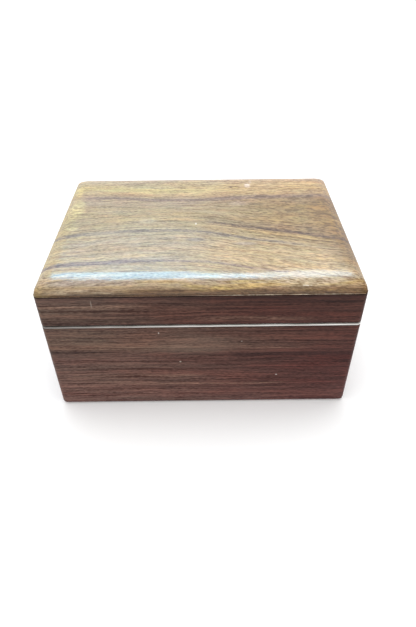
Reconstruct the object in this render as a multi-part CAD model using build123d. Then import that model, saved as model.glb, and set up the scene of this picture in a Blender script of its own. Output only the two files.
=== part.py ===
"""A small hinged wooden box with a light line let into the rim of its case.

Every board, strip, hinge leaf, pin and screw is a closed solid of its own, in millimetres.
The origin is on the table under the middle of the box, +Z is up, and the front faces -Y.
"""
import os
from math import cos, pi, radians, sin, tan

from build123d import *

# Overall size
box_width = 180.0
box_depth = 131.0
box_height = 95.0

# Boards
wall = 9.0
corner_radius = 2.8      # upright outer edges
foot_radius = 2.4        # outer edge that stands on the table
arris = 0.5              # sanded edge above the seam and above the lid's glue line

# Where the case ends and the lid begins
rim_height = 65.35
lid_gap = 0.5

# Lid board, its edge worked to a quarter ellipse above a narrow land
top_thickness = 9.0
edge_drop = 8.0          # how far the ellipse falls
edge_run = 11.0          # how far it reaches in from the side
quirk = 0.3              # small step between the ellipse and the land
corner_softness = 0.25   # how much rounder the corner gets towards the flat
edge_steps = 8

# Bottom board, glued into a rabbet
bottom_thickness = 5.0
bottom_rabbet = 4.5
felt_thickness = 1.0
felt_margin = 0.4

# Light line round the front and the two ends of the rim
line_height = 0.9
line_depth = 1.6

# Butt hinges
pin_inset = 2.6          # from the back face to the pin's centre
opening_angle = 100.0
hinge_centre_x = 52.0
hinge_length = 26.0
knuckle_count = 5        # the case's leaf has the odd ones out, and both ends
knuckle_gap = 0.2
barrel_radius = 2.0
pin_radius = 0.9
pin_clearance = 0.05
leaf_thickness = 1.0
barrel_clearance = 0.25

# Countersunk wood screws, two to a leaf
screw_spacing = 17.0
screw_length = 8.0
screw_radius = 0.8
head_radius = 1.5
head_depth = 0.7
point_length = 1.6
slot_width = 0.45
slot_depth = 0.4

half_width = box_width / 2
half_depth = box_depth / 2
lid_bottom = rim_height + lid_gap
top_bottom = box_height - top_thickness
land_top = box_height - edge_drop
pin_y = half_depth - pin_inset
pin_z = rim_height + lid_gap / 2
leaf_front_y = half_depth - wall
leaf_far = lid_gap / 2 + leaf_thickness
screw_y = (leaf_front_y + pin_y - barrel_radius) / 2
overcut = 1.0            # how far a cutting solid runs past the wood

below = -1               # the case lies below the pin
above = 1                # the lid lies above it
hinge_centres = {"left": -hinge_centre_x, "right": hinge_centre_x}
screw_places = [
    centre + shift
    for centre in hinge_centres.values()
    for shift in (-screw_spacing / 2, screw_spacing / 2)
]


def block(x, y, z):
    """A box from three pairs of limits."""
    size = Box(x[1] - x[0], y[1] - y[0], z[1] - z[0])
    return Pos((x[0] + x[1]) / 2, (y[0] + y[1]) / 2, (z[0] + z[1]) / 2) * size


def panel(inset, z_low, z_high):
    """A flat board that stays a given distance inside the box's outline."""
    x, y = half_width - inset, half_depth - inset
    return block((-x, x), (-y, y), (z_low, z_high))


def rounded_block(z_low, z_high):
    """The full width and depth of the box, with its upright edges rounded."""
    plan = RectangleRounded(box_width, box_depth, corner_radius)
    return extrude(Plane.XY.offset(z_low) * plan, z_high - z_low)


def mitred_prism(side, depth, z_low, z_high):
    """A board or strip along one side, mitred into its neighbours at both ends."""
    x, y = half_width, half_depth
    ends = {
        "front": [(-x, -y), (x, -y)],
        "right": [(x, -y), (x, y)],
        "back": [(x, y), (-x, y)],
        "left": [(-x, y), (-x, -y)],
    }
    start, end = ends[side]
    inner_x, inner_y = (x - depth) / x, (y - depth) / y
    inner_end = (end[0] * inner_x, end[1] * inner_y)
    inner_start = (start[0] * inner_x, start[1] * inner_y)
    outline = Polyline(start, end, inner_end, inner_start, close=True)
    return extrude(Plane.XY.offset(z_low) * make_face(outline), z_high - z_low)


def back_bevel(rim_z, way):
    """Wedge planed off behind the pin, so that the two bevels meet when the lid is open."""
    back_y = half_depth + overcut
    fall = way * tan(radians(opening_angle / 2)) * (back_y - pin_y)
    outline = Polyline((pin_y, rim_z), (back_y, rim_z), (back_y, rim_z + fall), close=True)
    start_x = -half_width - overcut
    return extrude(Plane.YZ.offset(start_x) * make_face(outline), box_width + 2 * overcut)


def rod(radius, x_low, x_high):
    """A round rod along the hinge axis."""
    disc = Plane.YZ.offset(x_low) * Pos(pin_y, pin_z) * Circle(radius)
    return extrude(disc, x_high - x_low)


def knuckles(centre_x):
    """The stretches of X that the knuckles of one hinge share out, first to last."""
    pitch = hinge_length / knuckle_count
    low = centre_x - hinge_length / 2
    return [(low + index * pitch, low + (index + 1) * pitch) for index in range(knuckle_count)]


def hinge_leaf(centre_x, way):
    """One leaf: a plate that lies flush in the rim, with its own knuckles round the pin."""
    low, high = centre_x - hinge_length / 2, centre_x + hinge_length / 2
    plate_z = sorted((pin_z + way * lid_gap / 2, pin_z + way * leaf_far))
    leaf = block((low, high), (leaf_front_y, pin_y), plate_z)
    first = 0 if way == below else 1
    stretches = knuckles(centre_x)
    for start, end in stretches[1 - first::2]:
        leaf -= rod(barrel_radius + barrel_clearance, start, end)
        leaf -= block((start, end), (pin_y - barrel_radius, pin_y + overcut), plate_z)
    for start, end in stretches[first::2]:
        start += 0 if start == low else knuckle_gap / 2
        end -= 0 if end == high else knuckle_gap / 2
        leaf += rod(barrel_radius, start, end)
    leaf -= rod(pin_radius + pin_clearance, low - overcut, high + overcut)
    for x in screw_places:
        leaf -= screw(x, way)
    return leaf


def hinge_seat(centre_x, way):
    """What is cut out of the wood for one leaf and for the whole barrel."""
    low, high = centre_x - hinge_length / 2, centre_x + hinge_length / 2
    plate_z = sorted((pin_z, pin_z + way * leaf_far))
    plate = block((low, high), (leaf_front_y - overcut, pin_y), plate_z)
    barrel = rod(barrel_radius + barrel_clearance, low - knuckle_gap, high + knuckle_gap)
    return plate + barrel


def screw(x, way, slotted=False):
    """A countersunk wood screw, its head level with the leaf."""
    profile = Polyline(
        (0, 0),
        (head_radius, 0),
        (screw_radius, head_depth),
        (screw_radius, screw_length - point_length),
        (0, screw_length),
        close=True,
    )
    solid = revolve(Plane.XZ * make_face(profile), Axis.Z)
    if slotted:
        slot_y = (-slot_width / 2, slot_width / 2)
        solid -= block((-head_radius, head_radius), slot_y, (-overcut, slot_depth))
    if way == below:
        solid = Rot(180, 0, 0) * solid
    return Pos(x, screw_y, pin_z + way * lid_gap / 2) * solid


def hinge_cuts(board, way):
    """The back board of the case or the lid, cut for both hinges and their screws."""
    for centre_x in hinge_centres.values():
        board -= hinge_seat(centre_x, way)
    for x in screw_places:
        board -= screw(x, way)
    return board


def case_wall(side):
    """A wall of the case, rabbeted for the bottom and for the light line."""
    envelope = rounded_block(0, rim_height)
    envelope = fillet(envelope.edges().group_by(Axis.Z)[0], foot_radius)
    board = mitred_prism(side, wall, 0, rim_height) & envelope
    board -= case_bottom()
    board -= back_bevel(rim_height, below)
    if side == "back":
        return hinge_cuts(board, below)
    return board - mitred_prism(side, line_depth, rim_height - line_height, rim_height)


def rim_line(side):
    """A strip of the light line, mitred at the front and planed off with the back bevel."""
    strip = mitred_prism(side, line_depth, rim_height - line_height, rim_height)
    return (strip & rounded_block(0, rim_height)) - back_bevel(rim_height, below)


def case_bottom():
    return panel(bottom_rabbet, 0, bottom_thickness)


def floor_felt():
    return panel(wall + felt_margin, bottom_thickness, bottom_thickness + felt_thickness)


def lid_rail(side):
    """A rail of the frame under the lid board."""
    envelope = rounded_block(lid_bottom, top_bottom)
    envelope = chamfer(envelope.edges().group_by(Axis.Z)[0], arris)
    rail = mitred_prism(side, wall, lid_bottom, top_bottom) & envelope
    rail -= back_bevel(lid_bottom, above)
    return hinge_cuts(rail, above) if side == "back" else rail


def lid_top():
    """The lid board: a land, and level sections drawn in along the ellipse above it."""
    land = rounded_block(top_bottom, land_top)
    land = chamfer(land.edges().group_by(Axis.Z)[0], arris)
    sections = []
    for step in range(edge_steps + 1):
        turn = pi / 2 * step / edge_steps
        inset = quirk + (edge_run - quirk) * (1 - cos(turn))
        radius = corner_radius + corner_softness * inset
        plan = RectangleRounded(box_width - 2 * inset, box_depth - 2 * inset, radius)
        sections.append(Plane.XY.offset(land_top + edge_drop * sin(turn)) * plan)
    return land + loft(sections)


def write(name, *solids):
    """Writes one node, which may be a group of separate solids."""
    shape = solids[0] if len(solids) == 1 else Compound(children=list(solids))
    export_step(shape, f"parts/{name}.step")


os.makedirs("parts", exist_ok=True)

for side in ("front", "back", "left", "right"):
    write(f"case_{side}", case_wall(side))
    write(f"lid_{side}", lid_rail(side))
for side in ("front", "left", "right"):
    write(f"rim_line_{side}", rim_line(side))
write("case_bottom", case_bottom())
write("floor_felt", floor_felt())
write("lid_top", lid_top())

for name, centre_x in hinge_centres.items():
    write(f"{name}_hinge_case_leaf", hinge_leaf(centre_x, below))
    write(f"{name}_hinge_lid_leaf", hinge_leaf(centre_x, above))
    half_length = hinge_length / 2
    write(f"{name}_hinge_pin", rod(pin_radius, centre_x - half_length, centre_x + half_length))
write("case_hinge_screws", *[screw(x, below, slotted=True) for x in screw_places])
write("lid_hinge_screws", *[screw(x, above, slotted=True) for x in screw_places])
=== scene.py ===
from math import radians

import bmesh
import bpy
from mathutils import Matrix, Vector


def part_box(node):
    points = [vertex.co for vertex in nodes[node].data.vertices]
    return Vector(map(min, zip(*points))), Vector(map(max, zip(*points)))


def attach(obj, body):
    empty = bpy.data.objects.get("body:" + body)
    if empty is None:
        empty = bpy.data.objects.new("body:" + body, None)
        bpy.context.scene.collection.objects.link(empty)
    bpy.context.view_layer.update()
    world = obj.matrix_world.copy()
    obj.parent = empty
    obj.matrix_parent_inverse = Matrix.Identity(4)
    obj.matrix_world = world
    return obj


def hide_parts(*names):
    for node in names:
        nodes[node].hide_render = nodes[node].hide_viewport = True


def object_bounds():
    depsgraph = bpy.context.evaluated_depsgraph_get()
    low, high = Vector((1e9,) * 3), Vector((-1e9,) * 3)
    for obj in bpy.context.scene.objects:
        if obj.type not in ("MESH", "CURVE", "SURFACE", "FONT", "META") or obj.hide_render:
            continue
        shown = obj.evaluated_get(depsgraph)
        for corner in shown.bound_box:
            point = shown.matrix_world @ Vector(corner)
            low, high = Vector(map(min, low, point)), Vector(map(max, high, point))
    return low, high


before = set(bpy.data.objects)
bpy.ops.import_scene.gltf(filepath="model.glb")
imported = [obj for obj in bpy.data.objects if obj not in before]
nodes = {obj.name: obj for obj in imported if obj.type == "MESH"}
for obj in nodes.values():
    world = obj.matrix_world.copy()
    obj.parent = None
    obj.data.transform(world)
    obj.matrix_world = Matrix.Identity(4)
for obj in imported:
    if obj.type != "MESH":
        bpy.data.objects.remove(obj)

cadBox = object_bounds()
scene = bpy.context.scene

# The box's own measures, read from the frame, in metres
boxLow, boxHigh = Vector(cadBox[0]), Vector(cadBox[1])
boxSize = boxHigh - boxLow
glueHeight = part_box("lid_top")[0].z          # where the lid board sits on its rails
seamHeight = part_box("lid_front")[0].z        # underside of the lid
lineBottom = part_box("rim_line_front")[0].z


# camera

view = {
    "place": (0.0197, -1.5444, 1.4021),      # in widths of the box, from the middle of its underside
    "down": 39.987,                          # degrees below level
    "turn": -0.059,
    "tilt": -0.644,
    "lens": 28.99,
}


def addCamera():
    data = bpy.data.cameras.new("camera")
    data.lens = view["lens"]
    data.clip_start = 0.01
    camera = bpy.data.objects.new("camera", data)
    turn = Matrix.Rotation(radians(view["turn"]), 4, "Z")
    down = Matrix.Rotation(radians(90 - view["down"]), 4, "X")
    tilt = Matrix.Rotation(radians(view["tilt"]), 4, "Z")
    place = Matrix.Translation(Vector(view["place"]) * boxSize.x)
    camera.matrix_world = place @ turn @ down @ tilt
    scene.collection.objects.link(camera)
    scene.camera = camera


# floor and light

studio = {
    "floorSize": 6.0,
    "floorColour": (0.96, 0.96, 0.96),
    "roomColour": (1.0, 1.0, 1.0),
    "roomStrength": 1.12,
    # size in metres, direction as (to the right, up) in degrees from straight behind, watts;
    # a panel only gives its sheen, the key only its light
    "lamps": [
        {"name": "key", "size": (0.9, 0.9), "aim": (-12, 76), "distance": 1.3,
         "watts": 7.0, "colour": (1.0, 0.99, 0.97), "sheen": False},
        {"name": "cool panel", "size": (0.50, 0.76), "aim": (-21, 60), "distance": 1.0,
         "watts": 16.5, "colour": (0.22, 0.65, 1.0), "sheen": True},
        {"name": "warm panel", "size": (0.42, 0.76), "aim": (31, 60), "distance": 1.0,
         "watts": 10.5, "colour": (0.66, 0.87, 1.0), "sheen": True},
    ],
}


def addStudio():
    mesh = bpy.data.meshes.new("floor")
    shape = bmesh.new()
    bmesh.ops.create_grid(shape, x_segments=1, y_segments=1, size=studio["floorSize"] / 2)
    shape.to_mesh(mesh)
    shape.free()
    floor = bpy.data.objects.new("floor", mesh)
    scene.collection.objects.link(floor)
    material, tree, shader = newMaterial("paper floor")
    shader.inputs["Base Color"].default_value = (*studio["floorColour"], 1)
    shader.inputs["Roughness"].default_value = 0.9
    mesh.materials.append(material)

    world = bpy.data.worlds.new("room")
    world.use_nodes = True
    background = world.node_tree.nodes["Background"]
    background.inputs["Color"].default_value = (*studio["roomColour"], 1)
    background.inputs["Strength"].default_value = studio["roomStrength"]
    scene.world = world

    target = Vector((0, boxLow.y, boxHigh.z))
    for lamp in studio["lamps"]:
        data = bpy.data.lights.new(lamp["name"], "AREA")
        data.shape = "RECTANGLE"
        data.size, data.size_y = lamp["size"]
        data.energy = lamp["watts"]
        data.color = lamp["colour"]
        light = bpy.data.objects.new(lamp["name"], data)
        right, up = (radians(angle) for angle in lamp["aim"])
        way = Matrix.Rotation(-right, 3, "Z") @ Matrix.Rotation(up, 3, "X") @ Vector((0, 1, 0))
        light.location = target + way * lamp["distance"]
        light.rotation_euler = (-way).to_track_quat("-Z", "Y").to_euler()
        light.visible_glossy = lamp["sheen"]
        light.visible_diffuse = not lamp["sheen"]
        scene.collection.objects.link(light)
    scene.view_settings.view_transform = "Standard"


# node helpers

def newMaterial(name):
    material = bpy.data.materials.new(name)
    material.use_nodes = True
    return material, material.node_tree, material.node_tree.nodes["Principled BSDF"]


def add(tree, kind, inputs=None, **settings):
    made = tree.nodes.new(kind)
    for name, value in settings.items():
        setattr(made, name, value)
    for key, value in (inputs or {}).items():
        if isinstance(value, bpy.types.NodeSocket):
            tree.links.new(value, made.inputs[key])
        else:
            made.inputs[key].default_value = value
    return made


def calc(tree, operation, first, second=0.0, third=0.0):
    made = add(tree, "ShaderNodeMath", {0: first, 1: second, 2: third}, operation=operation)
    return made.outputs[0]


# start below low, end above high, and smooth between
def soften(tree, value, low, high, start=0.0, end=1.0):
    made = add(tree, "ShaderNodeMapRange", {"Value": value, "From Min": low, "From Max": high,
               "To Min": start, "To Max": end}, interpolation_type="SMOOTHSTEP")
    return made.outputs["Result"]


def mix(tree, amount, first, second, blend="MIX"):
    made = tree.nodes.new("ShaderNodeMix")
    made.data_type = "RGBA"
    made.blend_type = blend
    for index, value in ((0, amount), (6, first), (7, second)):
        if isinstance(value, bpy.types.NodeSocket):
            tree.links.new(value, made.inputs[index])
        else:
            made.inputs[index].default_value = value if index == 0 else (*value, 1)
    return made.outputs[2]


def ramp(tree, amount, stops):
    made = add(tree, "ShaderNodeValToRGB", {"Fac": amount})
    elements = made.color_ramp.elements
    for element, (place, colour) in zip(elements, (stops[0], stops[-1])):
        element.position = place
        element.color = (*colour, 1)
    for place, colour in stops[1:-1]:
        elements.new(place).color = (*colour, 1)
    return made.outputs["Color"]


def noise(tree, place, detail=2.0, roughness=0.5, scale=1.0, distortion=0.0):
    made = add(tree, "ShaderNodeTexNoise", {"Vector": place, "Scale": scale, "Detail": detail,
               "Roughness": roughness, "Distortion": distortion})
    return made.outputs["Fac"]


# divides a place by a length each way, so that noise comes out about that large
def stretched(tree, place, sizes, shift=(0, 0, 0)):
    return add(tree, "ShaderNodeMapping", {"Vector": place, "Location": shift,
               "Scale": tuple(1 / size for size in sizes)}).outputs["Vector"]


# 1 within half of centre, falling to 0 over edge
def band(tree, value, centre, half, edge):
    away = calc(tree, "ABSOLUTE", calc(tree, "SUBTRACT", value, centre))
    return soften(tree, away, half, half + edge, 1.0, 0.0)


# Object coordinates in millimetres, turned about Z so that the grain runs along X
def objectPlace(tree, turn=0.0, shift=(0, 0, 0)):
    read = tree.nodes.new("ShaderNodeTexCoord").outputs["Object"]
    return add(tree, "ShaderNodeMapping", {"Vector": read, "Location": shift,
               "Rotation": (0, 0, radians(turn)), "Scale": (1000, 1000, 1000)}).outputs["Vector"]


def split(tree, vector):
    return add(tree, "ShaderNodeSeparateXYZ", {"Vector": vector}).outputs[:]


def join(tree, x, y, z):
    return add(tree, "ShaderNodeCombineXYZ", {"X": x, "Y": y, "Z": z}).outputs["Vector"]


def addBump(tree, shader, height, strength, distance, socket="Normal"):
    bump = add(tree, "ShaderNodeBump", {"Height": height, "Strength": strength, "Distance": distance})
    tree.links.new(bump.outputs["Normal"], shader.inputs[socket])


# a colour as it is seen on a screen, 0 to 255, made linear
def sRgb(red, green, blue):
    def linear(value):
        value /= 255
        return value / 12.92 if value <= 0.04045 else ((value + 0.055) / 1.055) ** 2.4
    return (linear(red), linear(green), linear(blue))


# a smooth curve through points, given as (value, result)
def curve(tree, value, points):
    low, high = points[0][0], points[-1][0]
    top = max(result for at, result in points)
    made = tree.nodes.new("ShaderNodeFloatCurve")
    line = made.mapping.curves[0]
    placed = [((at - low) / (high - low), result / top) for at, result in points]
    line.points[0].location = placed[0]
    line.points[1].location = placed[-1]
    for at, result in placed[1:-1]:
        line.points.new(at, result)
    made.mapping.update()
    part = calc(tree, "DIVIDE", calc(tree, "SUBTRACT", value, low), high - low)
    tree.links.new(part, made.inputs["Value"])
    return calc(tree, "MULTIPLY", made.outputs["Value"], top)


# grain

grain = {
    "streakDetail": 1.5,
    "streakShift": Vector((7, 3, 5)),         # keeps the streaks of each size apart
    "poreShift": (1, 8, 6),
    "poreLimits": (0.58, 0.70),               # where the noise begins to be a pore, and is one
    "streakLimits": (0.1, 0.9),               # levels of the darkest and lightest streaks
    "patchLimits": (0.32, 0.68),
    "lineFade": 25,                           # how long a line takes to come and go, in millimetres
    "lineCore": 0.3,
    "spotCore": 0.35,
    "roughLimits": (-0.3, 0.3),               # streaks that are the smoothest and the roughest
    "bumpHeight": 0.0002,
    "skin": (2.4, 1.2),                       # how deep the outside goes, and where it is fully outside
}


# noise about 0, as large as given along and across the grain
def waver(tree, place, sizes, shift=(0, 0, 0), detail=2.0):
    return calc(tree, "SUBTRACT", noise(tree, stretched(tree, place, sizes, shift), detail), 0.5)


# streaks along the grain, above and below 0, and pores from 0 to 1
def woodFibres(tree, place, sizes, poreSize):
    total = 0.0
    for number, (length, breadth, weight) in enumerate(sizes):
        part = waver(tree, place, (length, breadth, breadth), grain["streakShift"] * number,
                     grain["streakDetail"])
        total = calc(tree, "MULTIPLY_ADD", part, weight, total)
    length, breadth = poreSize
    pores = noise(tree, stretched(tree, place, (length, breadth, breadth), grain["poreShift"]))
    return total, soften(tree, pores, *grain["poreLimits"])


# darkens a colour in the low streaks and lightens it in the high ones
def streak(tree, colour, streaks, dark, light):
    low, high = grain["streakLimits"]
    level = calc(tree, "ADD", streaks, 0.5)
    shade = ramp(tree, level, [(low, dark), (0.5, (1, 1, 1)), (high, light)])
    return mix(tree, 1.0, colour, shade, "MULTIPLY")


# turns a colour towards one tint or the other, in patches of the given size
def patches(tree, colour, place, sizes, shift, tints):
    level = noise(tree, stretched(tree, place, sizes, shift), detail=3)
    low, high = grain["patchLimits"]
    shade = ramp(tree, level, [(low, tints[0]), (0.5, (1, 1, 1)), (high, tints[1])])
    return mix(tree, 1.0, colour, shade, "MULTIPLY")


# how far a line that runs along the grain shows, from 0 to 1
def grainLine(tree, x, across, centre, half, start, end):
    line = band(tree, across, centre, half * grain["lineCore"], half)
    lead = soften(tree, x, start, start + grain["lineFade"])
    tail = soften(tree, x, end - grain["lineFade"], end, 1.0, 0.0)
    return calc(tree, "MULTIPLY", line, calc(tree, "MULTIPLY", lead, tail))


# an oval spot, 1 in its middle
def spot(tree, place, centre, half):
    shift = tuple(-middle / size for middle, size in zip(centre, half))
    near = add(tree, "ShaderNodeMapping", {"Vector": place, "Location": (*shift, 0),
               "Scale": (1 / half[0], 1 / half[1], 0)}).outputs["Vector"]
    away = add(tree, "ShaderNodeVectorMath", {0: near}, operation="LENGTH").outputs["Value"]
    return soften(tree, away, grain["spotCore"], 1.0, 1.0, 0.0)


# 1 on the outside of the box and 0 inside it
def outerFaces(tree):
    near = []
    for value, limit in zip(split(tree, objectPlace(tree)), boxHigh.xy * 1000):
        inner, outer = (limit - depth for depth in grain["skin"])
        near.append(soften(tree, calc(tree, "ABSOLUTE", value), inner, outer))
    return calc(tree, "MAXIMUM", *near)


# colours across a board, between the tones of its left and right ends
def boardTones(tree, level, leftTones, rightTones, towardsRight):
    last = leftTones[-1][0]
    part = calc(tree, "DIVIDE", level, last)
    ends = []
    for tones in (leftTones, rightTones):
        ends.append(ramp(tree, part, [(at / last, colour) for at, colour in tones]))
    return mix(tree, towardsRight, *ends)


# pores, gloss and relief, the same way for both woods
def finishWood(tree, shader, colour, streaks, pores, wood):
    tree.links.new(colour, shader.inputs["Base Color"])
    rough = soften(tree, streaks, *grain["roughLimits"], *wood["gloss"])
    tree.links.new(rough, shader.inputs["Roughness"])
    shader.inputs["Specular IOR Level"].default_value = wood["specular"]
    relief = calc(tree, "SUBTRACT", streaks, pores)
    addBump(tree, shader, relief, wood["bump"], grain["bumpHeight"])
    return relief


# case wood

caseWood = {
    # tones from the foot of the box upwards, in millimetres, at its left and right ends
    "leftTones": [
        (0, sRgb(108, 84, 80)), (8, sRgb(116, 88, 82)), (22, sRgb(106, 81, 74)),
        (37, sRgb(100, 76, 70)), (44, sRgb(92, 70, 64)), (49, sRgb(105, 85, 75)),
        (62, sRgb(97, 76, 68)), (68, sRgb(92, 74, 66)), (78, sRgb(106, 90, 80)),
        (84, sRgb(90, 74, 68)), (95, sRgb(80, 64, 58)),
    ],
    "rightTones": [
        (0, sRgb(106, 78, 77)), (8, sRgb(94, 61, 59)), (22, sRgb(88, 53, 51)),
        (32, sRgb(84, 48, 46)), (40, sRgb(75, 42, 40)), (49, sRgb(82, 51, 47)),
        (62, sRgb(80, 49, 44)), (68, sRgb(80, 50, 45)), (78, sRgb(77, 48, 43)),
        (83, sRgb(68, 43, 38)), (95, sRgb(64, 40, 36)),
    ],
    # dark lines along the boards: height, half width, from, to, how dark
    "lines": [
        (84.5, 0.9, -30, 100, 0.6), (82, 0.6, 0, 100, 0.5), (77.6, 0.6, -5, 90, 0.55),
        (74, 0.9, -75, -15, 0.55), (67, 0.5, -95, 95, 0.35), (58, 0.5, -60, 20, 0.25),
        (46, 0.8, -110, -35, 0.65), (43, 0.8, -30, 40, 0.45), (42, 1.7, 5, 110, 0.5),
        (31.4, 0.6, 0, 110, 0.6), (27, 0.5, 10, 70, 0.35), (21, 0.5, -60, 10, 0.35),
        (15, 0.6, -60, 60, 0.5), (9, 0.4, -95, 30, 0.3),
    ],
    "stain": (0.80, 0.76, 0.72),
    "turnsRight": (-60, 100),                 # from where to where the left tones become the right ones
    "railTurn": 58,                           # how much further left they do so on the lid's rails
    "railFrom": (62, 68),
    "lineColour": sRgb(42, 24, 24),
    # light lines, the same way; the broad faint one at height 50 is painted sheen
    "lightLines": [
        (79, 1.0, -110, -20, 0.35), (50, 2.2, -60, 30, 0.12), (24.5, 0.6, -85, 10, 0.4),
        (18, 0.6, -60, 60, 0.4), (48, 0.5, 10, 70, 0.3), (63, 0.4, -40, 40, 0.25),
        (70, 1.6, -10, 70, 0.3),
    ],
    "lightColour": sRgb(142, 112, 96),
    # how the bands drift: noise sizes, millimetres
    "slowDrift": ((80, 30, 12), 4.8),
    "fastDrift": ((14, 4, 4), 1.2),
    # streaks: length, breadth, weight
    "streaks": [(130, 2.4, 0.5), (70, 1.0, 1.15), (28, 0.6, 1.15), (9, 0.5, 1.0), (2.6, 0.5, 1.3)],
    "pores": (7, 0.45),
    "darkTint": (0.40, 0.28, 0.26),
    "lightTint": (1.65, 1.62, 1.56),
    "patchSizes": (45, 6, 6),
    "patchTints": ((0.94, 1.04, 1.04), (1.08, 0.95, 0.93)),
    # a painted sheen patch, a scratch and specks of dust on the front:
    # place, half sizes, strength, colour
    "frontMarksAndSheen": [
        # painted sheen: the broad light patch on the front
        ((-4, 51), (34, 11), 0.11, sRgb(158, 141, 124)),
        ((-59.4, 81.5), (0.5, 3.6), 0.35, sRgb(160, 148, 136)),
        ((-24.4, 60), (0.5, 0.9), 0.5, sRgb(200, 192, 184)),
        ((-13, 37), (0.8, 0.7), 0.6, sRgb(190, 178, 166)),
        ((45, 25), (0.8, 0.5), 0.7, sRgb(210, 204, 198)),
        ((23, 53), (0.7, 0.6), 0.3, sRgb(190, 180, 170)),
    ],
    "poreColour": sRgb(40, 22, 20),
    "poreStrength": 0.45,
    "seamColour": sRgb(26, 16, 14),
    # dark lines where boards meet: height, half width, edge, strength; at the glue line and below the
    # light line they are old finish, at the underside of the lid they are painted shade in the gap
    # between lid and case
    "seamsAndGapShade": [
        (glueHeight * 1000, 0.25, 0.3, 0.4),
        # painted shade in the gap between lid and case
        (seamHeight * 1000, 0.5, 0.4, 0.85),
        (lineBottom * 1000, 0.1, 0.4, 0.7),
    ],
    "gloss": (0.42, 0.58),
    "specular": 0.12,
    "bump": 0.25,
}


def makeCaseWood(name, turn, shift, marks=()):
    material, tree, shader = newMaterial(name)
    place = objectPlace(tree, turn, shift)
    x, y, z = split(tree, place)
    slowSizes, slow = caseWood["slowDrift"]
    fastSizes, fast = caseWood["fastDrift"]
    drift = calc(tree, "MULTIPLY", waver(tree, place, slowSizes), slow)
    drift = calc(tree, "MULTIPLY_ADD", waver(tree, place, fastSizes, (3, 1, 2)), fast, drift)
    height = calc(tree, "ADD", z, drift)
    sooner = calc(tree, "MULTIPLY", soften(tree, z, *caseWood["railFrom"]), caseWood["railTurn"])
    towardsRight = soften(tree, calc(tree, "ADD", x, sooner), *caseWood["turnsRight"])
    colour = boardTones(tree, height, caseWood["leftTones"], caseWood["rightTones"], towardsRight)
    colour = mix(tree, 1.0, colour, caseWood["stain"], "MULTIPLY")
    along = join(tree, x, y, height)
    colour = patches(tree, colour, along, caseWood["patchSizes"], (4, 2, 9), caseWood["patchTints"])
    for lines, tone in (("lines", "lineColour"), ("lightLines", "lightColour")):
        for centre, half, start, end, strength in caseWood[lines]:
            shown = grainLine(tree, x, height, centre, half, start, end)
            colour = mix(tree, calc(tree, "MULTIPLY", shown, strength), colour, caseWood[tone])
    streaks, pores = woodFibres(tree, along, caseWood["streaks"], caseWood["pores"])
    colour = streak(tree, colour, streaks, caseWood["darkTint"], caseWood["lightTint"])
    pored = calc(tree, "MULTIPLY", pores, caseWood["poreStrength"])
    colour = mix(tree, pored, colour, caseWood["poreColour"])

    outside = outerFaces(tree)
    # painted sheen and real marks, on the outer faces only
    for centre, half, strength, tone in marks:
        shown = calc(tree, "MULTIPLY", spot(tree, join(tree, x, z, 0.0), centre, half), strength)
        colour = mix(tree, calc(tree, "MULTIPLY", shown, outside), colour, tone)
    # darker where boards meet, and painted shade at the gap under the lid
    level = split(tree, objectPlace(tree))[2]
    jointDarkening = 0.0
    for at, half, edge, strength in caseWood["seamsAndGapShade"]:
        line = calc(tree, "MULTIPLY", band(tree, level, at, half, edge), strength)
        jointDarkening = calc(tree, "MAXIMUM", jointDarkening, line)
    colour = mix(tree, calc(tree, "MULTIPLY", jointDarkening, outside), colour, caseWood["seamColour"])
    finishWood(tree, shader, colour, streaks, pores, caseWood)
    return material


# lid wood

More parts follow.
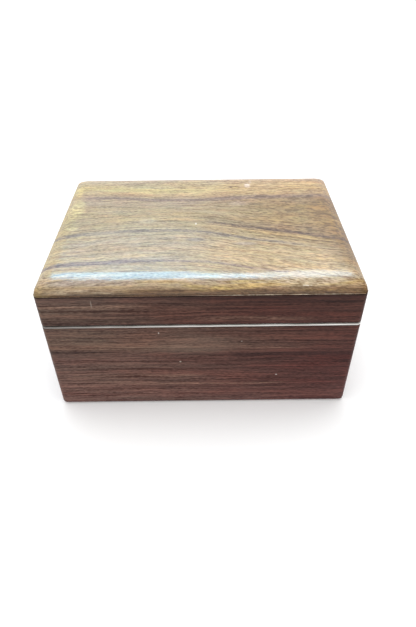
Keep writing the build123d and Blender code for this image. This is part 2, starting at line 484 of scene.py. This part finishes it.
lidWood = {
    # tones across the lid board, in millimetres from its back edge, at its left and right ends
    "leftTones": [
        (0, sRgb(186, 170, 148)), (9, sRgb(190, 174, 152)), (18, sRgb(196, 184, 146)),
        (22, sRgb(200, 188, 140)), (27, sRgb(190, 170, 138)), (33, sRgb(178, 160, 136)),
        (38, sRgb(178, 164, 144)), (50, sRgb(184, 170, 140)), (63, sRgb(182, 168, 136)),
        (77, sRgb(178, 168, 144)), (84, sRgb(188, 178, 156)), (98, sRgb(190, 174, 150)),
        (108, sRgb(190, 178, 154)), (125, sRgb(190, 176, 150)),
    ],
    "rightTones": [
        (0, sRgb(196, 172, 144)), (9, sRgb(204, 176, 146)), (18, sRgb(202, 176, 134)),
        (27, sRgb(198, 172, 130)), (32, sRgb(188, 162, 124)), (35, sRgb(156, 134, 106)),
        (43, sRgb(156, 134, 94)), (54, sRgb(164, 144, 104)), (62, sRgb(160, 138, 106)),
        (70, sRgb(172, 150, 108)), (77, sRgb(182, 164, 130)), (94, sRgb(200, 180, 142)),
        (108, sRgb(196, 174, 140)), (125, sRgb(188, 170, 134)),
    ],
    # the front round, from across the top down to its foot; the dark tones at its foot are painted
    # shade
    "roundTonesAndFootShade": [
        (124, sRgb(190, 176, 160)), (127.5, sRgb(184, 168, 148)), (130.5, sRgb(178, 158, 130)),
        # painted shade: the darker tones towards the foot of the round
        (132.8, sRgb(142, 116, 88)), (134.4, sRgb(100, 76, 54)), (136, sRgb(90, 66, 50)),
    ],
    "roundFade": 3,                           # how softly the top turns into the round
    # golden patches along the round
    "gold": sRgb(206, 182, 116),
    "goldStrength": 0.6,
    "goldBand": (129.5, 2.5, 2.5),            # how far across, half width, edge
    "goldFrom": (-60, 0, 0.15, 1.0),          # hardly any left of this, all of it from here
    "goldLimits": (0.48, 0.66),
    "goldSizes": (22, 2.5, 2.5),
    # lines along the front round: how far across, half width, from, to, strength, colour; the dark one
    # at 133.2 is painted shade at the foot of the round, the light one at 135.3 a painted highlight on
    # the edge below it
    "roundLinesWithShadeAndHighlight": [
        # painted shade at the foot of the round
        (133.2, 0.8, -50, 110, 0.75, sRgb(84, 58, 34)),
        (132.9, 1.4, -92, -32, 0.6, sRgb(186, 170, 144)),
        (128.6, 1.8, -125, -25, 0.4, sRgb(150, 140, 138)),
        (130.4, 0.4, 0, 60, 0.3, sRgb(126, 102, 74)),
        (128.2, 0.4, -80, -10, 0.3, sRgb(130, 108, 88)),
        (127, 0.5, 20, 80, 0.3, sRgb(138, 122, 110)),
        # painted highlight on the narrow edge below the round
        (135.3, 0.35, -10, 115, 0.6, sRgb(206, 190, 168)),
    ],
    "raggedSizes": (13, 1.6, 1.6),            # gaps in those lines
    "ragged": (0.35, 0.6, 0.25),
    "broken": (-0.2, 0.3, 1.0, 0.6),          # how far light streaks break up the other lines
    "stain": (0.735, 0.70, 0.64),
    "turnsRight": (-25, 60),                  # from where to where the left tones become the right ones
    # how far the figure dips towards the front, from the left end to the right
    "backDip": [(-90, 0), (-50, 2), (-15, 4.5), (10, 3), (30, 1), (60, 0), (90, 0)],
    "frontDip": [(-90, 8.5), (-60, 2.5), (-30, 0), (-5, 1), (10, 4), (30, 10), (60, 17.5), (90, 26)],
    "backLine": 33.0,                         # the figure is straight behind this line
    "backReach": (4, 22),                     # how far the back dip holds to either side, and fades
    "frontLine": 65.0,                        # and dips fully past this one
    "frontReach": (92, 112, 1.0, 0.8),        # the front dip is less near the front edge
    # dark lines that follow the figure: where, half width, from, to, how dark, colour
    "lines": [
        (33.5, 2.2, -95, 110, 0.65, sRgb(112, 92, 90)),
        (35.5, 0.8, -5, 50, 0.65, sRgb(92, 72, 72)),
        (38.5, 0.5, 0, 40, 0.4, sRgb(110, 88, 80)),
        (45.5, 0.5, 25, 85, 0.4, sRgb(108, 84, 60)),
        (50, 0.6, 45, 115, 0.5, sRgb(104, 78, 52)),
        (54.5, 0.5, 20, 80, 0.4, sRgb(104, 80, 58)),
        (57.5, 0.7, 52, 115, 0.55, sRgb(98, 72, 48)),
        (60.5, 0.6, 15, 100, 0.45, sRgb(100, 74, 56)),
        (65, 1.6, -10, 110, 0.9, sRgb(84, 62, 56)),
        (67.5, 0.6, -5, 60, 0.45, sRgb(110, 84, 66)),
        (70.5, 0.7, 30, 110, 0.7, sRgb(94, 66, 46)),
        (73.5, 0.6, 25, 110, 0.65, sRgb(98, 70, 48)),
        (77.5, 2.0, -115, 70, 0.8, sRgb(118, 110, 106)),
        (80.5, 0.6, 25, 110, 0.6, sRgb(104, 76, 56)),
        (84, 0.6, 40, 115, 0.5, sRgb(112, 80, 52)),
        (88, 0.5, -95, 15, 0.4, sRgb(126, 106, 96)),
        (90, 0.5, 55, 115, 0.45, sRgb(126, 92, 60)),
        (109.5, 2.6, -115, -20, 0.8, sRgb(122, 110, 112)),
        (109.5, 1.3, -90, 60, 0.7, sRgb(116, 100, 102)),
        (13, 0.6, 10, 100, 0.35, sRgb(146, 112, 80)),
        (16, 0.5, -80, 20, 0.3, sRgb(140, 120, 88)),
    ],
    # light lines, the same way
    "lightLines": [
        (20, 0.9, -90, 15, 0.45, sRgb(224, 206, 140)),
        (16, 0.6, 25, 95, 0.4, sRgb(232, 206, 160)),
        (24, 0.5, -60, 50, 0.35, sRgb(220, 196, 140)),
        (52.5, 0.6, 50, 110, 0.35, sRgb(204, 178, 124)),
        (68.8, 0.7, 5, 90, 0.4, sRgb(206, 178, 128)),
        (75, 0.6, -70, 20, 0.35, sRgb(212, 200, 166)),
        (104, 0.8, -95, 10, 0.35, sRgb(210, 190, 140)),
    ],
    "spotsAbove": (glueHeight * 1000 + 0.5, glueHeight * 1000 + 1),
    # spots on the top: where along and across, half sizes, strength, colour; the near-white pair behind
    # the knot is painted glare and the yellow ones at the left end are painted highlight
    "spots": [
        ((23, 20.5), (5.5, 2.6), 0.9, sRgb(104, 78, 48)),
        ((23.6, 20.7), (3.4, 1.3), 0.95, sRgb(200, 178, 120)),
        ((20.5, 20), (1.2, 0.9), 0.9, sRgb(84, 60, 40)),
        # painted glare: two near-white spots of reflection behind the knot
        ((32, 18), (2.8, 4.6), 0.45, sRgb(236, 222, 220)),
        ((34.3, 12.5), (1.4, 4.0), 0.2, sRgb(232, 220, 214)),
        ((-3, 88), (8, 2.6), 0.6, sRgb(128, 122, 124)),
        ((26, 93), (10, 2.4), 0.4, sRgb(132, 126, 128)),
        ((-3, 69.5), (0.8, 1.5), 0.5, sRgb(240, 238, 232)),
        ((24, 44), (8, 5), 0.2, sRgb(206, 186, 176)),
        ((-33, 65.5), (7, 4.5), 0.18, sRgb(208, 200, 180)),
        ((-19, 74), (0.8, 0.6), 0.6, sRgb(110, 84, 66)),
        ((19.5, 104), (0.8, 0.6), 0.6, sRgb(120, 92, 72)),
        ((58, 128.5), (30, 3.5), 0.22, sRgb(212, 196, 168)),
        ((56, 131), (4, 0.5), 0.6, sRgb(242, 234, 220)),
        # painted highlight: yellow light along the left end
        ((-80, 50), (7, 16), 0.4, sRgb(214, 206, 150)),
        ((-83, 25), (4, 14), 0.35, sRgb(210, 192, 122)),
        ((-79, 74), (5, 3.5), 0.4, sRgb(216, 208, 158)),
        ((30, 130.2), (26, 1.4), 0.4, sRgb(202, 170, 96)),
        ((76, 60), (13, 26), 0.3, sRgb(142, 110, 64)),
    ],
    # how the figure drifts: noise sizes, millimetres
    "slowDrift": ((55, 16, 16), 4.0),
    "fastDrift": ((12, 3, 3), 1.6),
    # streaks: length, breadth, weight
    "streaks": [(70, 2.8, 0.5), (34, 1.2, 0.95), (14, 0.7, 1.1), (5, 0.6, 1.1), (1.8, 0.6, 1.3)],
    "grit": (4.5, 0.7, 2.4),                  # as a streak, only to the right
    "gritFrom": (-10, 50),
    "pores": (4, 0.5),
    "darkTints": [(0.56, 0.51, 0.48), (0.57, 0.48, 0.36)],    # at the left and right ends
    "lightTint": (1.44, 1.44, 1.40),
    "patchSizes": (30, 5, 5),
    "patchTints": ((0.94, 0.98, 1.06), (1.07, 1.01, 0.92)),
    "blushSizes": (9, 3, 3),
    "blushTints": ((1.04, 0.98, 1.0), (0.97, 1.01, 0.95)),
    # the ends: colour, from where to where, how strongly there; the yellow at the left end is a painted
    # highlight where its round catches the light
    "leftEndHighlight": (sRgb(200, 184, 128), (-88, -74, 0.5, 0.0)),
    "bareEnds": (83.5, 88.5, 0.25),           # where the coat thins out, and what is left of it
    "rightEnd": (sRgb(134, 102, 58), (64, 89, 0.0, 0.75)),
    "endsFront": (108, 124, 1.0, 0.4),        # they are weaker on the front round
    "rightEndBack": (26, 42, 0.35, 1.0),      # and the right one at the back
    "poreColour": sRgb(110, 84, 62),
    "poreStrength": 0.35,
    # stain left in the glue line: half width, edge, strength
    "glueLine": (0.35, 0.2, 0.6),
    "seamColour": sRgb(30, 18, 14),
    "gloss": (0.40, 0.55),
    "specular": 0.05,
    "coat": 0.8,
    "coatRoughness": 0.19,
    "bump": 0.25,
    "coatBump": 0.12,
}


# where the lines of figure would lie if the board's grain were straight
def makeFigure(tree, place, x, across):
    backLine, frontLine = lidWood["backLine"], lidWood["frontLine"]
    dipped = band(tree, across, backLine, *lidWood["backReach"])
    level = calc(tree, "MULTIPLY", curve(tree, x, lidWood["backDip"]), dipped)
    level = calc(tree, "SUBTRACT", across, level)
    reach = soften(tree, across, *lidWood["frontReach"])
    dip = calc(tree, "MULTIPLY", curve(tree, x, lidWood["frontDip"]), reach)
    span = frontLine - backLine
    squeeze = calc(tree, "DIVIDE", span, calc(tree, "ADD", dip, span))
    between = calc(tree, "SUBTRACT", level, backLine)
    between = calc(tree, "MULTIPLY_ADD", between, squeeze, backLine)
    figure = calc(tree, "MAXIMUM", between, calc(tree, "SUBTRACT", level, dip))
    figure = calc(tree, "MINIMUM", figure, level)
    slowSizes, slow = lidWood["slowDrift"]
    fastSizes, fast = lidWood["fastDrift"]
    drift = calc(tree, "MULTIPLY", waver(tree, place, slowSizes), slow)
    fine = waver(tree, place, fastSizes, (4, 4, 4), 3)
    return calc(tree, "ADD", figure, calc(tree, "MULTIPLY_ADD", fine, fast, drift))


# the front round, with painted shade at its foot and golden in patches, and the tints of both ends, the
# left one a painted highlight
def lidEdges(tree, place, x, across, colour):
    tones = lidWood["roundTonesAndFootShade"]
    first, low = tones[0][0], tones[-1][0]
    part = calc(tree, "DIVIDE", calc(tree, "SUBTRACT", across, first), low - first)
    roundToneAndFootShade = ramp(tree, part, [((level - first) / (low - first), tone) for level, tone in tones])
    fade = lidWood["roundFade"]
    colour = mix(tree, soften(tree, across, first - fade, first + fade), colour, roundToneAndFootShade)
    golden = noise(tree, stretched(tree, place, lidWood["goldSizes"], (9, 1, 3)), detail=3)
    golden = soften(tree, golden, *lidWood["goldLimits"], 0.0, lidWood["goldStrength"])
    golden = calc(tree, "MULTIPLY", golden, band(tree, across, *lidWood["goldBand"]))
    golden = calc(tree, "MULTIPLY", golden, soften(tree, x, *lidWood["goldFrom"]))
    colour = mix(tree, golden, colour, lidWood["gold"])
    front = soften(tree, across, *lidWood["endsFront"])
    back = soften(tree, across, *lidWood["rightEndBack"])
    # painted highlight on the left end
    tone, reach = lidWood["leftEndHighlight"]
    colour = mix(tree, calc(tree, "MULTIPLY", soften(tree, x, *reach), front), colour, tone)
    tone, reach = lidWood["rightEnd"]
    shown = calc(tree, "MULTIPLY", soften(tree, x, *reach), calc(tree, "MULTIPLY", front, back))
    return mix(tree, shown, colour, tone)


def makeLidWood():
    material, tree, shader = newMaterial("lid wood")
    place = objectPlace(tree)
    x, y, z = split(tree, place)
    # distance from the back edge, over the top and down the front
    fallen = calc(tree, "SUBTRACT", boxHigh.z * 1000, z)
    across = calc(tree, "SUBTRACT", boxHigh.y * 1000, y)
    across = calc(tree, "MULTIPLY_ADD", fallen, 0.5, across)
    figure = makeFigure(tree, place, x, across)
    along = join(tree, x, figure, z)

    towardsRight = soften(tree, x, *lidWood["turnsRight"])
    colour = boardTones(tree, figure, lidWood["leftTones"], lidWood["rightTones"], towardsRight)
    colour = lidEdges(tree, place, x, across, colour)
    colour = mix(tree, 1.0, colour, lidWood["stain"], "MULTIPLY")
    colour = patches(tree, colour, along, lidWood["patchSizes"], (3, 8, 2), lidWood["patchTints"])
    colour = patches(tree, colour, along, lidWood["blushSizes"], (6, 1, 7), lidWood["blushTints"])

    streaks, pores = woodFibres(tree, along, lidWood["streaks"], lidWood["pores"])
    length, breadth, weight = lidWood["grit"]
    grit = waver(tree, along, (length, breadth, breadth), (7, 7, 7))
    grit = calc(tree, "MULTIPLY", grit, soften(tree, x, *lidWood["gritFrom"], 0.0, weight))
    streaks = calc(tree, "ADD", streaks, grit)

    broken = soften(tree, streaks, *lidWood["broken"])
    for lines in ("lines", "lightLines"):
        for centre, half, start, end, strength, tone in lidWood[lines]:
            shown = grainLine(tree, x, figure, centre, half, start, end)
            shown = calc(tree, "MULTIPLY", shown, strength)
            colour = mix(tree, calc(tree, "MULTIPLY", shown, broken), colour, tone)
    ragged = noise(tree, stretched(tree, place, lidWood["raggedSizes"], (2, 6, 4)), detail=3)
    ragged = soften(tree, ragged, *lidWood["ragged"])
    for centre, half, start, end, strength, tone in lidWood["roundLinesWithShadeAndHighlight"]:
        shown = grainLine(tree, x, across, centre, half, start, end)
        shown = calc(tree, "MULTIPLY", shown, strength)
        colour = mix(tree, calc(tree, "MULTIPLY", shown, ragged), colour, tone)
    flat = join(tree, x, across, 0.0)
    above = soften(tree, z, *lidWood["spotsAbove"])
    for centre, half, strength, tone in lidWood["spots"]:
        shown = calc(tree, "MULTIPLY", above, strength)
        shown = calc(tree, "MULTIPLY", spot(tree, flat, centre, half), shown)
        colour = mix(tree, shown, colour, tone)
    light = lidWood["lightTint"]
    ends = [streak(tree, colour, streaks, dark, light) for dark in lidWood["darkTints"]]
    colour = mix(tree, towardsRight, *ends)
    pored = calc(tree, "MULTIPLY", pores, lidWood["poreStrength"])
    colour = mix(tree, pored, colour, lidWood["poreColour"])
    half, edge, strength = lidWood["glueLine"]
    jointDarkening = calc(tree, "MULTIPLY", band(tree, z, glueHeight * 1000, half, edge), outerFaces(tree))
    colour = mix(tree, calc(tree, "MULTIPLY", jointDarkening, strength), colour, lidWood["seamColour"])

    relief = finishWood(tree, shader, colour, streaks, pores, lidWood)
    addBump(tree, shader, relief, lidWood["coatBump"], grain["bumpHeight"], "Coat Normal")
    start, end, least = lidWood["bareEnds"]
    full = lidWood["coat"]
    coat = soften(tree, calc(tree, "ABSOLUTE", x), start, end, full, full * least)
    tree.links.new(coat, shader.inputs["Coat Weight"])
    shader.inputs["Coat Roughness"].default_value = lidWood["coatRoughness"]
    return material


# bottom wood

bottomWood = {
    "dark": sRgb(96, 70, 52),
    "middle": sRgb(128, 96, 72),
    "light": sRgb(150, 118, 88),
    "streaks": [(80, 4, 1.2), (30, 1.5, 1.4), (12, 0.8, 1.0)],
    "pores": (8, 0.5),
    "poreColour": sRgb(60, 40, 30),
    "poreStrength": 0.5,
    "roughness": 0.7,
    "bump": 0.3,
}


def makeBottomWood():
    material, tree, shader = newMaterial("bottom wood")
    place = objectPlace(tree)
    streaks, pores = woodFibres(tree, place, bottomWood["streaks"], bottomWood["pores"])
    stops = [(0.2, bottomWood["dark"]), (0.5, bottomWood["middle"]), (0.8, bottomWood["light"])]
    colour = ramp(tree, calc(tree, "ADD", streaks, 0.5), stops)
    pored = calc(tree, "MULTIPLY", pores, bottomWood["poreStrength"])
    colour = mix(tree, pored, colour, bottomWood["poreColour"])
    tree.links.new(colour, shader.inputs["Base Color"])
    shader.inputs["Roughness"].default_value = bottomWood["roughness"]
    addBump(tree, shader, streaks, bottomWood["bump"], grain["bumpHeight"])
    return material


# light line

lineWood = {
    "grey": sRgb(168, 164, 158),
    "white": sRgb(232, 230, 226),
    "wornTint": (0.30, 0.28, 0.27),           # the left end is dirtier
    "wornEnd": (-95, 25),
    "grain": (14, 14, 0.4),
    "roughness": 0.4,
}


def makeLineWood():
    material, tree, shader = newMaterial("light line")
    place = objectPlace(tree)
    fine = noise(tree, stretched(tree, place, lineWood["grain"]), detail=3)
    colour = ramp(tree, fine, [(0.3, lineWood["grey"]), (0.7, lineWood["white"])])
    worn = soften(tree, split(tree, place)[0], *lineWood["wornEnd"])
    dirty = mix(tree, 1.0, colour, lineWood["wornTint"], "MULTIPLY")
    colour = mix(tree, worn, dirty, colour)
    tree.links.new(colour, shader.inputs["Base Color"])
    shader.inputs["Roughness"].default_value = lineWood["roughness"]
    return material


# brass

brass = {
    "bright": (0.78, 0.56, 0.24),
    "dull": (0.36, 0.24, 0.11),
    "roughness": (0.24, 0.42),
    "tarnish": (3, 3, 3),                     # size of the dull patches, in millimetres
    "brushed": (6, 0.12, 0.12),               # length and breadth of the brush marks
    "bump": (0.15, 0.0001),
}


def makeBrass():
    material, tree, shader = newMaterial("brass")
    place = objectPlace(tree)
    tarnish = noise(tree, stretched(tree, place, brass["tarnish"]), detail=4, roughness=0.6)
    brushed = noise(tree, stretched(tree, place, brass["brushed"]))
    colour = mix(tree, soften(tree, tarnish, 0.45, 0.75), brass["bright"], brass["dull"])
    tree.links.new(colour, shader.inputs["Base Color"])
    shader.inputs["Metallic"].default_value = 1.0
    rough = soften(tree, brushed, 0.3, 0.7, *brass["roughness"])
    tree.links.new(rough, shader.inputs["Roughness"])
    addBump(tree, shader, brushed, *brass["bump"])
    return material


# felt

felt = {
    "colour": (0.16, 0.012, 0.018),
    "lint": (0.30, 0.04, 0.045),
    "clumps": (1.6, 1.6, 1.6),                # in millimetres
    "fibres": (0.5, 0.5, 0.5),
    "sheen": 0.5,
    "bump": (0.6, 0.0003),
    "thickness": 0.7,                         # of the room that the lining has
    "meshes": (60, 42),
}


def makeFelt():
    material, tree, shader = newMaterial("felt")
    place = objectPlace(tree)
    clumps = noise(tree, stretched(tree, place, felt["clumps"]), detail=5, roughness=0.7)
    fibres = noise(tree, stretched(tree, place, felt["fibres"], (2, 5, 1)), detail=3, distortion=1.5)
    colour = mix(tree, soften(tree, clumps, 0.35, 0.7), felt["colour"], felt["lint"])
    tree.links.new(colour, shader.inputs["Base Color"])
    shader.inputs["Roughness"].default_value = 0.95
    shader.inputs["Sheen Weight"].default_value = felt["sheen"]
    shader.inputs["Sheen Roughness"].default_value = 0.4
    addBump(tree, shader, fibres, *felt["bump"])
    return material


def addFelt():
    low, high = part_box("floor_felt")
    size, middle = high - low, (low + high) / 2
    thickness = size.z * felt["thickness"]
    along, deep = felt["meshes"]
    shape = bmesh.new()
    bmesh.ops.create_grid(shape, x_segments=along, y_segments=deep, size=0.5)
    bmesh.ops.scale(shape, verts=shape.verts, vec=(size.x, size.y, 1))
    bmesh.ops.translate(shape, verts=shape.verts, vec=(middle.x, middle.y, low.z + thickness))
    mesh = bpy.data.meshes.new("floor cloth")
    shape.to_mesh(mesh)
    shape.free()
    mesh.materials.append(makeFelt())
    piece = bpy.data.objects.new("floor_cloth", mesh)
    scene.collection.objects.link(piece)
    thick = piece.modifiers.new("thickness", "SOLIDIFY")
    thick.thickness = thickness
    thick.offset = -1
    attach(piece, "case")
    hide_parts("floor_felt")


# putting it together

def dress(names, material):
    for name in names:
        slots = nodes[name].data.materials
        slots.clear()
        slots.append(material)


addCamera()
addStudio()
print("camera, floor and light are in")

frontWood = makeCaseWood("front wood", 0, (0, 0, 0), caseWood["frontMarksAndSheen"])
dress(["case_front", "lid_front"], frontWood)
dress(["case_back", "lid_back"], makeCaseWood("back wood", 180, (0, 0, 11)))
dress(["case_left", "lid_left"], makeCaseWood("left wood", -90, (0, 0, 5)))
dress(["case_right", "lid_right"], makeCaseWood("right wood", 90, (0, 0, -6)))
dress(["lid_top"], makeLidWood())
dress(["case_bottom"], makeBottomWood())
dress(["rim_line_front", "rim_line_left", "rim_line_right"], makeLineWood())
dress([name for name in nodes if "hinge" in name], makeBrass())
print("wood and brass are on")

addFelt()
print("the lining is in")
